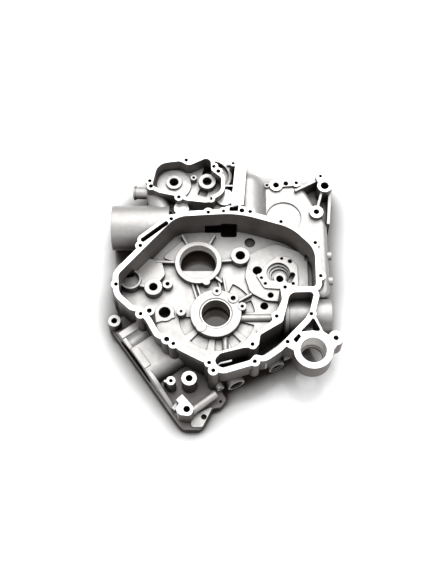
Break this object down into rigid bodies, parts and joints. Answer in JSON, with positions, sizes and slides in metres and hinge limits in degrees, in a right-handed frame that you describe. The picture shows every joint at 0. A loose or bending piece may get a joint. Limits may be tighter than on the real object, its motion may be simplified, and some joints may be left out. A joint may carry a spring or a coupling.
{
  "type": "engine crankcase half",
  "caption": "Bare cast aluminium crankcase half with a walled clutch chamber, ribbed bearing web, pump housing, sump well and mounting lugs.",
  "frame": {"origin": "crank axis in the middle of the main bearing", "axes": "+Z along the crank axis from the split face to the clutch cover, +X towards the engine mount ring, +Y towards the water pump housing"},
  "size_m": [0.3588, 0.4448, 0.08],
  "materials": {
    "cast_aluminium": "satin",
    "bush_steel": "satin"
  },
  "bodies": {
    "root": {"crankcase_casting": "cast_aluminium", "main_bearing_bush": "bush_steel"}
  },
  "joints": []
}
